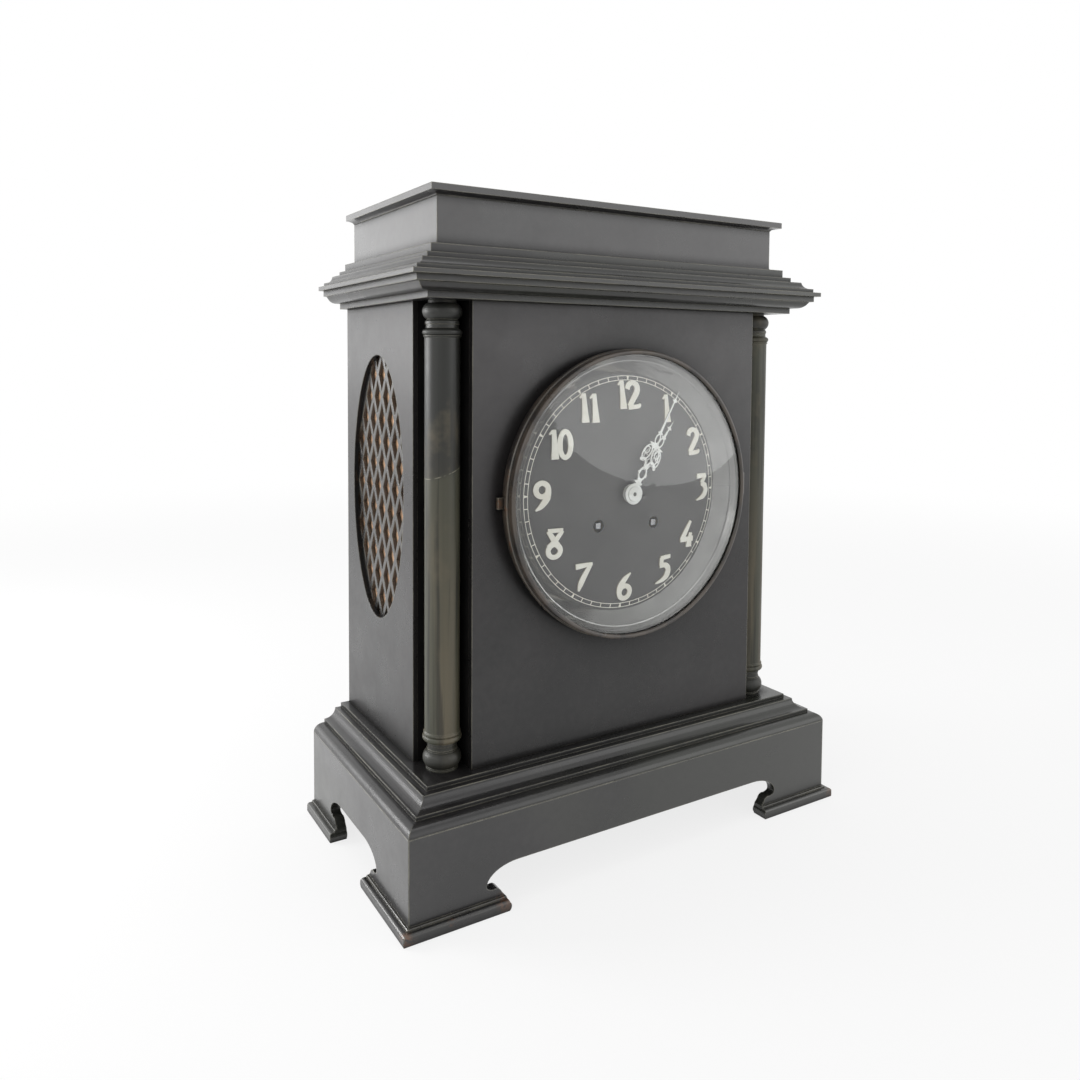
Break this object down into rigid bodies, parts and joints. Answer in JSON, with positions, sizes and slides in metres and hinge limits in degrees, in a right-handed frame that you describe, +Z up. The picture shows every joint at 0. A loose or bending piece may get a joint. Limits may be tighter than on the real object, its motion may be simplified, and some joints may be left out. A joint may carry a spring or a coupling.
{
  "type": "shelf clock",
  "caption": "Empire style shelf clock: moulded metal case on bracket feet, corner columns, oval lattice grilles, round glazed bezel, pierced hands and a striking movement.",
  "frame": {"origin": "on the surface it stands on, under the middle of the bounding box", "axes": "+X to the right of the dial as seen from the front, +Y to the back, +Z up"},
  "size_m": [0.3868, 0.1984, 0.48],
  "materials": {
    "patinated_bronze": "dark grey-brown patina, satin, worn to copper at the feet",
    "column_bronze": "olive patina with upright streaks",
    "grille_metal": "grey patina, satin",
    "grille_cloth": "tan woven cloth",
    "silvered": "dull silver, lapped",
    "clear_glass": "clear bevelled plate",
    "dial_face": "charcoal, matt",
    "ivory_paint": "cream, semi-matt",
    "movement_brass": "grained brass",
    "tool_steel": "polished steel"
  },
  "bodies": {
    "case": {"base_front": "patinated_bronze", "base_left": "patinated_bronze", "base_right": "patinated_bronze", "base_back": "patinated_bronze", "base_moulding": "patinated_bronze", "front_panel": "patinated_bronze", "side_left": "patinated_bronze", "side_right": "patinated_bronze", "corner_left": "patinated_bronze", "corner_right": "patinated_bronze", "back_frame": "patinated_bronze", "cornice": "patinated_bronze", "attic": "patinated_bronze", "top_slab": "patinated_bronze", "column_left": "column_bronze", "column_right": "column_bronze", "grille_left": "grille_metal", "grille_right": "grille_metal", "keeper_left": "grille_metal", "keeper_right": "grille_metal", "cloth_left": "grille_cloth", "cloth_right": "grille_cloth", "bezel_hinge": "patinated_bronze", "bezel_pin": "tool_steel", "dial_plate": "dial_face", "front_plate": "movement_brass", "back_plate": "movement_brass", "plate_pillars": "movement_brass", "movement_straps": "tool_steel", "balance_cock": "movement_brass", "bell": "movement_brass", "bell_post": "tool_steel", "door_pins": "tool_steel"},
    "bezel": {"bezel_ring": "patinated_bronze", "sight_ring": "silvered", "dial_glass": "clear_glass"},
    "door": {"back_door": "patinated_bronze"},
    "latch": {"door_latch": "movement_brass"},
    "minute": {"centre_wheel": "movement_brass", "cannon_pinion": "movement_brass", "minute_hand": "ivory_paint", "hand_nut": "ivory_paint"},
    "hour": {"hour_wheel": "movement_brass", "hour_hand": "ivory_paint"},
    "motion": {"minute_wheel": "movement_brass"},
    "time_drum": {"time_barrel": "movement_brass"},
    "time_key": {"time_winder": "tool_steel"},
    "second": {"second_wheel": "movement_brass"},
    "third": {"third_wheel": "movement_brass"},
    "fourth": {"fourth_wheel": "movement_brass"},
    "escape": {"escape_wheel": "movement_brass"},
    "anchor": {"lever": "tool_steel"},
    "balance": {"balance_wheel": "movement_brass", "hairspring": "tool_steel"},
    "strike_drum": {"strike_barrel": "movement_brass"},
    "strike_key": {"strike_winder": "tool_steel"},
    "pins": {"pin_wheel": "movement_brass"},
    "warning": {"warning_wheel": "movement_brass"},
    "air_fly": {"fly": "movement_brass"},
    "hammer_arm": {"hammer": "tool_steel"}
  },
  "joints": [
    {"name": "bezel_opens", "type": "hinge", "parent": "case", "child": "bezel", "pos_m": [0.113, -0.0683, 0.267], "axis": [0, 0, 1], "range_deg": [0, 120]},
    {"name": "door_opens", "type": "hinge", "parent": "case", "child": "door", "pos_m": [-0.11, 0.09595, 0.267], "axis": [0, 0, 1], "range_deg": [0, 110]},
    {"name": "latch_turns", "type": "hinge", "parent": "door", "child": "latch", "pos_m": [0.095, 0.0932, 0.267], "axis": [0, 1, 0], "range_deg": [0, 90]},
    {"name": "minute_runs", "type": "hinge", "parent": "case", "child": "minute", "pos_m": [0, 0, 0.267], "axis": [0, 1, 0], "continuous": true},
    {"name": "hour_runs", "type": "hinge", "parent": "case", "child": "hour", "pos_m": [0, 0, 0.267], "axis": [0, 1, 0], "continuous": true},
    {"name": "motion_runs", "type": "hinge", "parent": "case", "child": "motion", "pos_m": [-0.01429, 0, 0.27583], "axis": [0, 1, 0], "continuous": true},
    {"name": "time_drum_runs", "type": "hinge", "parent": "case", "child": "time_drum", "pos_m": [0.02479, 0, 0.24275], "axis": [0, 1, 0], "continuous": true},
    {"name": "second_runs", "type": "hinge", "parent": "case", "child": "second", "pos_m": [0.01842, 0, 0.2685], "axis": [0, 1, 0], "continuous": true},
    {"name": "third_runs", "type": "hinge", "parent": "case", "child": "third", "pos_m": [0.00048, 0, 0.28319], "axis": [0, 1, 0], "continuous": true},
    {"name": "fourth_runs", "type": "hinge", "parent": "case", "child": "fourth", "pos_m": [0.00947, 0, 0.29328], "axis": [0, 1, 0], "continuous": true},
    {"name": "escape_runs", "type": "hinge", "parent": "case", "child": "escape", "pos_m": [0.00563, 0, 0.3049], "axis": [0, 1, 0], "continuous": true},
    {"name": "time_winds", "type": "hinge", "parent": "case", "child": "time_key", "pos_m": [0.02479, 0, 0.24275], "axis": [0, 1, 0], "range_deg": [0, 2880]},
    {"name": "anchor_rocks", "type": "hinge", "parent": "case", "child": "anchor", "pos_m": [0.01639, 0, 0.31021], "axis": [0, 1, 0], "range_deg": [-5, 5]},
    {"name": "balance_swings", "type": "hinge", "parent": "case", "child": "balance", "pos_m": [0.02826, 0, 0.31194], "axis": [0, 1, 0], "range_deg": [-220, 220]},
    {"name": "pins_run", "type": "hinge", "parent": "case", "child": "pins", "pos_m": [-0.0254, 0, 0.27077], "axis": [0, 1, 0], "continuous": true},
    {"name": "strike_drum_runs", "type": "hinge", "parent": "case", "child": "strike_drum", "pos_m": [-0.02619, 0, 0.24427], "axis": [0, 1, 0], "continuous": true},
    {"name": "warning_runs", "type": "hinge", "parent": "case", "child": "warning", "pos_m": [-0.01604, 0, 0.28594], "axis": [0, 1, 0], "continuous": true},
    {"name": "fly_spins", "type": "hinge", "parent": "case", "child": "air_fly", "pos_m": [-0.01799, 0, 0.29931], "axis": [0, 1, 0], "continuous": true},
    {"name": "strike_winds", "type": "hinge", "parent": "case", "child": "strike_key", "pos_m": [-0.02619, 0, 0.24427], "axis": [0, 1, 0], "range_deg": [0, 2880]},
    {"name": "hammer_lifts", "type": "hinge", "parent": "case", "child": "hammer_arm", "pos_m": [-0.05463, 0, 0.24661], "axis": [0, -1, 0], "range_deg": [0, 12]}
  ],
  "couplings": [
    {"joint": "hour_runs", "follows": "minute_runs", "ratio": 0.083333},
    {"joint": "motion_runs", "follows": "minute_runs", "ratio": -0.33333},
    {"joint": "second_runs", "follows": "minute_runs", "ratio": -0.16667},
    {"joint": "time_drum_runs", "follows": "minute_runs", "ratio": 0.022222},
    {"joint": "third_runs", "follows": "minute_runs", "ratio": -8},
    {"joint": "fourth_runs", "follows": "minute_runs", "ratio": 60},
    {"joint": "escape_runs", "follows": "minute_runs", "ratio": -480},
    {"joint": "strike_drum_runs", "follows": "pins_run", "ratio": -0.13333},
    {"joint": "warning_runs", "follows": "pins_run", "ratio": -8},
    {"joint": "fly_spins", "follows": "pins_run", "ratio": 60}
  ]
}
